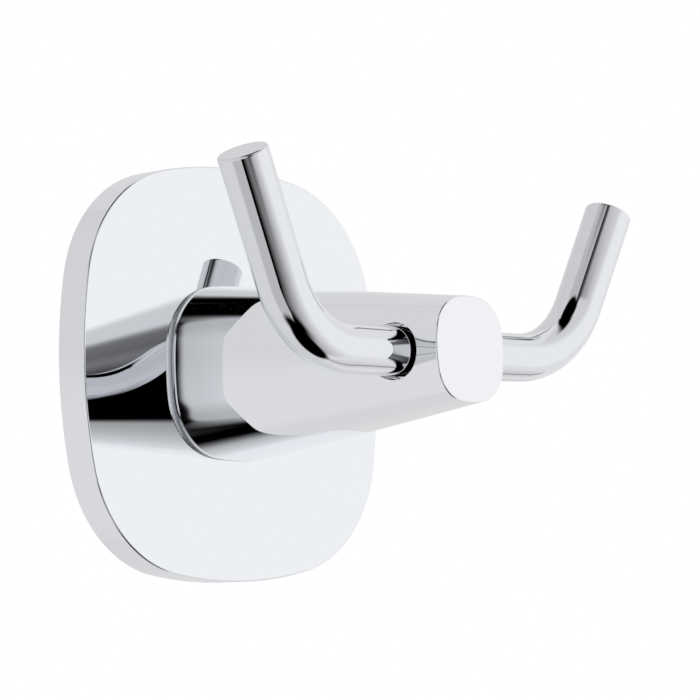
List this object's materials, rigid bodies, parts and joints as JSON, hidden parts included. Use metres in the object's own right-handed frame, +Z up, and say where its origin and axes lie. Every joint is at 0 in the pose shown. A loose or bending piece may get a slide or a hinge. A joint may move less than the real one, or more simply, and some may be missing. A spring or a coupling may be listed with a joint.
{
  "type": "double robe hook",
  "caption": "Robe hook with upturned rod arms on a tapering boss and a rounded-square cover plate, held to the wall by a hidden bracket.",
  "frame": {"origin": "middle of the wall bracket's back face, which is the middle of the cover plate, on the wall", "axes": "+Z up, +Y into the wall, +X to the right for someone who faces the wall; the hook stands out along -Y"},
  "size_m": [0.075, 0.0449, 0.055],
  "materials": {
    "plate_chrome": "mirror-polished chrome plate",
    "boss_chrome": "mirror-polished chrome plate",
    "rod_chrome": "mirror-polished chrome plate",
    "bracket_zinc": "dull zinc-plated casting",
    "screw_steel": "plain stainless steel"
  },
  "bodies": {
    "root": {"cover_plate": "plate_chrome", "boss": "boss_chrome", "left_arm": "rod_chrome", "right_arm": "rod_chrome", "wall_bracket": "bracket_zinc", "upper_boss_screw": "screw_steel", "lower_boss_screw": "screw_steel", "grub_screw": "screw_steel"}
  },
  "joints": []
}
